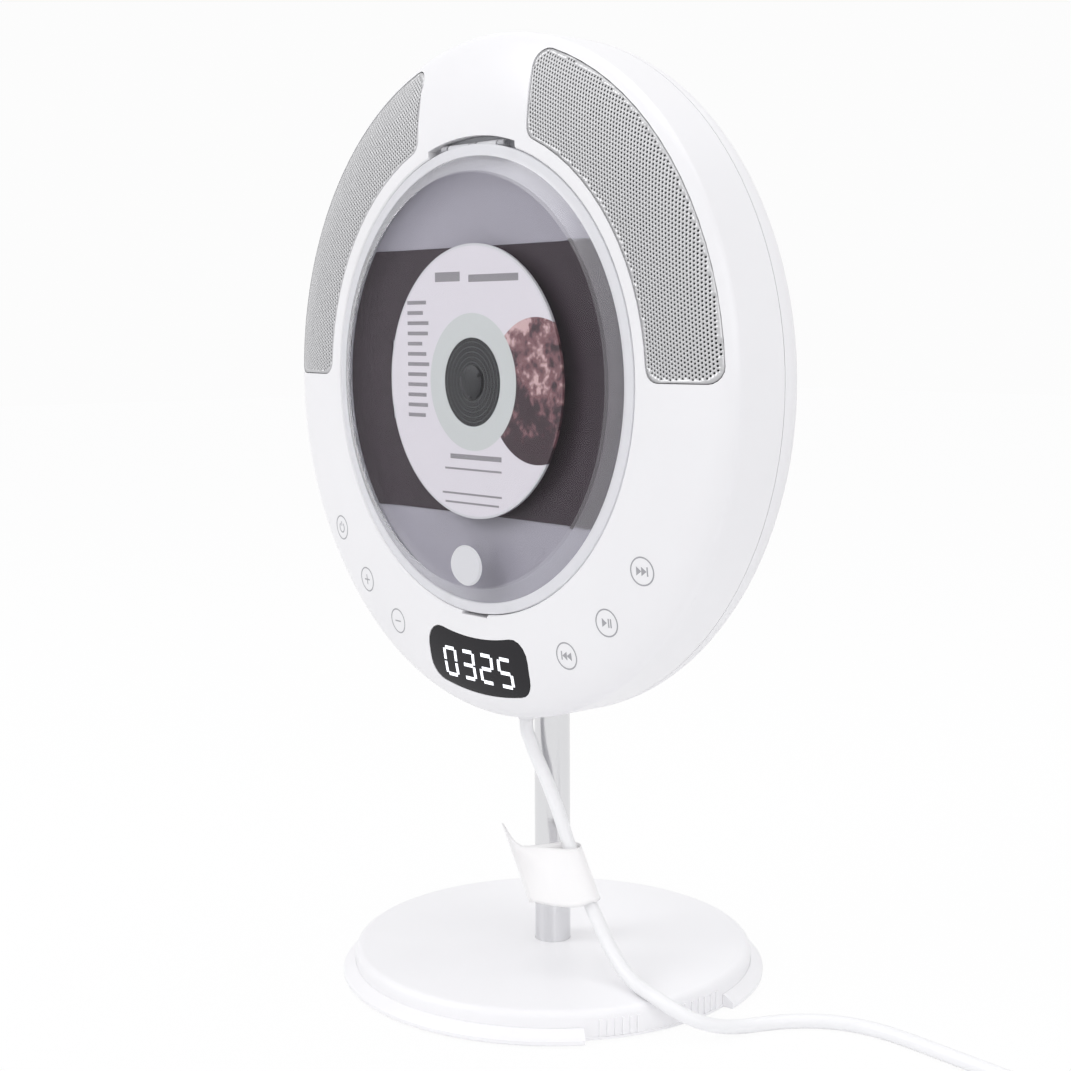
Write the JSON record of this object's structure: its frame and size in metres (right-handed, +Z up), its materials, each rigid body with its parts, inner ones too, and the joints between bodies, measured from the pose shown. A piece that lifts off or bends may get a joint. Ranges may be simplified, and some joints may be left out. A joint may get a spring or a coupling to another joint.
{
  "type": "compact disc player on a stand",
  "caption": "Round compact disc player with speaker grilles in a domed ring, a clear hinged cover, a digit display and touch keys, held upright by a pole on a flat round base.",
  "frame": {"origin": "on the table, on the pole's axis, which is the centre of the base and of the box without the cord", "axes": "+Z up, -Y towards the front of the player, +X to its right as seen from the front"},
  "size_m": [0.4981, 0.2095, 0.4245],
  "materials": {
    "white_gloss": "glossy white moulded plastic",
    "white_satin": "satin white moulded plastic",
    "grille_metal": "satin silver grey perforated sheet",
    "dark_plastic": "matt black moulded plastic",
    "well_plastic": "satin pale mauve grey plastic",
    "card_print": "smooth printed card, charcoal mauve",
    "clear_plastic": "clear moulded plastic",
    "frosted_plastic": "frosted clear plastic",
    "steel": "plain steel",
    "zinc_steel": "zinc plated steel",
    "magnet_black": "dark sintered magnet",
    "charcoal_gloss": "glossy charcoal lens",
    "segment_white": "lit white segments",
    "board_green": "green circuit board",
    "disc_print": "printed clear disc",
    "gear_ivory": "natural moulded gear plastic",
    "brass": "plain brass",
    "sled_grey": "dark grey moulded plastic",
    "lens_blue": "coated lens in its holder",
    "rubber_black": "soft rubber",
    "cone_paper": "pressed paper cone",
    "pole_metal": "satin silver painted tube",
    "cord_white": "smooth white flexible sheath",
    "tag_paper": "folded paper"
  },
  "bodies": {
    "root": {"front_housing": "white_gloss", "rear_housing": "white_satin", "left_grille": "grille_metal", "right_grille": "grille_metal", "speaker_baffles": "dark_plastic", "disc_well": "well_plastic", "album_card": "card_print", "latch_magnet": "magnet_black", "hinge_bracket": "dark_plastic", "hinge_pin": "steel", "display_lens": "charcoal_gloss", "display_module": "dark_plastic", "digit_segments": "segment_white", "display_board": "board_green", "touch_board": "board_green", "spindle_motor": "zinc_steel", "mechanism_deck": "dark_plastic", "deck_isolators": "rubber_black", "deck_screws": "zinc_steel", "guide_rods": "steel", "feed_motor": "zinc_steel", "left_speaker_frame": "dark_plastic", "right_speaker_frame": "dark_plastic", "speaker_magnets": "magnet_black", "main_board": "board_green", "board_components": "dark_plastic", "audio_socket": "dark_plastic", "housing_screws": "zinc_steel", "inner_screws": "zinc_steel", "return_spring": "steel", "switch_bracket": "white_satin", "micro_switch": "dark_plastic", "pole": "pole_metal", "pole_plug": "zinc_steel", "pole_bolt": "zinc_steel", "base_cover": "white_satin", "base_weight": "magnet_black", "base_plate": "white_satin", "base_feet": "rubber_black", "base_screws": "zinc_steel", "power_cord": "cord_white", "cord_coil": "cord_white", "cord_tie": "white_satin", "power_plug": "white_gloss", "cord_tag": "tag_paper"},
    "cover": {"cover_bezel": "frosted_plastic", "cover_window": "clear_plastic", "finger_dimple": "frosted_plastic", "latch_keeper": "zinc_steel"},
    "disc": {"compact_disc": "disc_print", "turntable": "dark_plastic", "spindle_shaft": "steel"},
    "sled": {"laser_sled": "sled_grey", "sled_rack": "gear_ivory"},
    "lens": {"objective_lens": "lens_blue"},
    "feed_gear_body": {"feed_gear": "gear_ivory"},
    "motor_pinion_body": {"motor_pinion": "brass"},
    "left_cone_body": {"left_cone": "cone_paper"},
    "right_cone_body": {"right_cone": "cone_paper"},
    "pull_sleeve_body": {"pull_sleeve": "white_gloss"}
  },
  "joints": [
    {"name": "cover_hinge", "type": "hinge", "parent": "root", "child": "cover", "pos_m": [0, -0.0432, 0.3764], "axis": [-1, 0, 0], "range_deg": [0, 75]},
    {"name": "disc_spin", "type": "hinge", "parent": "root", "child": "disc", "pos_m": [0, -0.045, 0.275], "axis": [0, 1, 0], "continuous": true},
    {"name": "sled_slide", "type": "slide", "parent": "root", "child": "sled", "axis": [-1, 0, 0], "range_m": [0, 0.034]},
    {"name": "lens_focus", "type": "slide", "parent": "sled", "child": "lens", "axis": [0, -1, 0], "range_m": [-0.0005, 0.0005], "stiffness_N_per_m": 60},
    {"name": "feed_gear_turn", "type": "hinge", "parent": "root", "child": "feed_gear_body", "pos_m": [-0.038, -0.025, 0.29772], "axis": [0, 1, 0], "range_deg": [0, 480]},
    {"name": "motor_pinion_turn", "type": "hinge", "parent": "root", "child": "motor_pinion_body", "pos_m": [-0.02828, -0.025, 0.3093], "axis": [0, 1, 0], "range_deg": [-1900, 0]},
    {"name": "left_cone_stroke", "type": "slide", "parent": "root", "child": "left_cone_body", "axis": [0, -1, 0], "range_m": [-0.001, 0.001], "stiffness_N_per_m": 1500},
    {"name": "right_cone_stroke", "type": "slide", "parent": "root", "child": "right_cone_body", "axis": [0, -1, 0], "range_m": [-0.001, 0.001], "stiffness_N_per_m": 1500},
    {"name": "pull_switch", "type": "slide", "parent": "root", "child": "pull_sleeve_body", "axis": [0, 0, -1], "range_m": [0, 0.005], "stiffness_N_per_m": 150, "springref_m": -0.004, "deforming": ["return_spring"]}
  ],
  "couplings": [
    {"joint": "feed_gear_turn", "follows": "sled_slide", "rad_per_m": 238.1},
    {"joint": "motor_pinion_turn", "follows": "sled_slide", "rad_per_m": -952.38}
  ]
}
